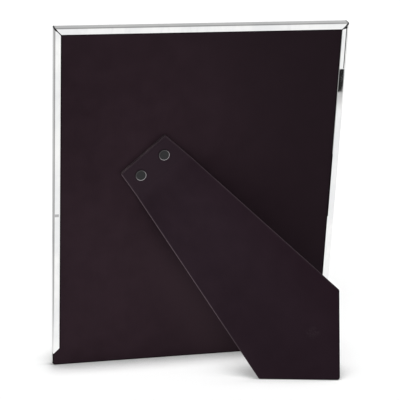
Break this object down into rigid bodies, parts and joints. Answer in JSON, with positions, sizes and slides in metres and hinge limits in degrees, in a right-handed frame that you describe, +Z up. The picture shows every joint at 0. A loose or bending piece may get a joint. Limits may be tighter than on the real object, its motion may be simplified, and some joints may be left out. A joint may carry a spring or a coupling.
{
  "type": "easel back photo frame",
  "caption": "Polished metal photo frame leaning back on an open velvet easel leg, with a velvet back panel that slides out downwards.",
  "frame": {"origin": "on the floor, in the middle of the space that the frame and its open leg take up", "axes": "+Z up, -Y towards the back with the leg, +X to the right as seen from behind"},
  "size_m": [0.2286, 0.1012, 0.2756],
  "materials": {
    "polished_rail": "mirror polished",
    "corner_key": "stamped, plain",
    "glass": "clear, ground edges",
    "insert_paper": "plain matt paper",
    "filler_card": "brown card",
    "velvet": "short-pile velvet, very dark brown",
    "board": "dense grey board",
    "lining_paper": "black lining paper",
    "leg_lining": "short-pile velvet",
    "hinge_steel": "pressed, zinc plated",
    "rivet_metal": "dark nickel, polished ring"
  },
  "bodies": {
    "frame": {"rail_top": "polished_rail", "rail_left": "polished_rail", "rail_right": "polished_rail", "rail_bottom": "polished_rail", "corner_key_bottom_left": "corner_key", "corner_key_bottom_right": "corner_key", "corner_key_top_right": "corner_key", "corner_key_top_left": "corner_key", "glass_pane": "glass", "insert_card": "insert_paper", "filler_card": "filler_card"},
    "back_panel": {"panel_velvet": "velvet", "panel_board": "board", "panel_lining": "lining_paper", "strut_head_velvet": "velvet", "strut_head_board": "board", "hinge_leaf_fixed": "hinge_steel", "hinge_pin": "hinge_steel", "rivet_left": "rivet_metal", "rivet_right": "rivet_metal", "rivet_washer_left": "hinge_steel", "rivet_washer_right": "hinge_steel"},
    "easel_leg": {"leg_board": "board", "leg_velvet": "velvet", "leg_lining": "leg_lining", "hinge_leaf_moving": "hinge_steel"}
  },
  "joints": [
    {"name": "back_panel_slide", "type": "slide", "parent": "frame", "child": "back_panel", "axis": [0, 0.1908, -0.9816], "range_m": [0, 0.27]},
    {"name": "leg_fold", "type": "hinge", "parent": "back_panel", "child": "easel_leg", "pos_m": [-0.02987, 0.01047, 0.15773], "axis": [0.7466, -0.1269, 0.653], "range_deg": [0, 24.4]}
  ]
}
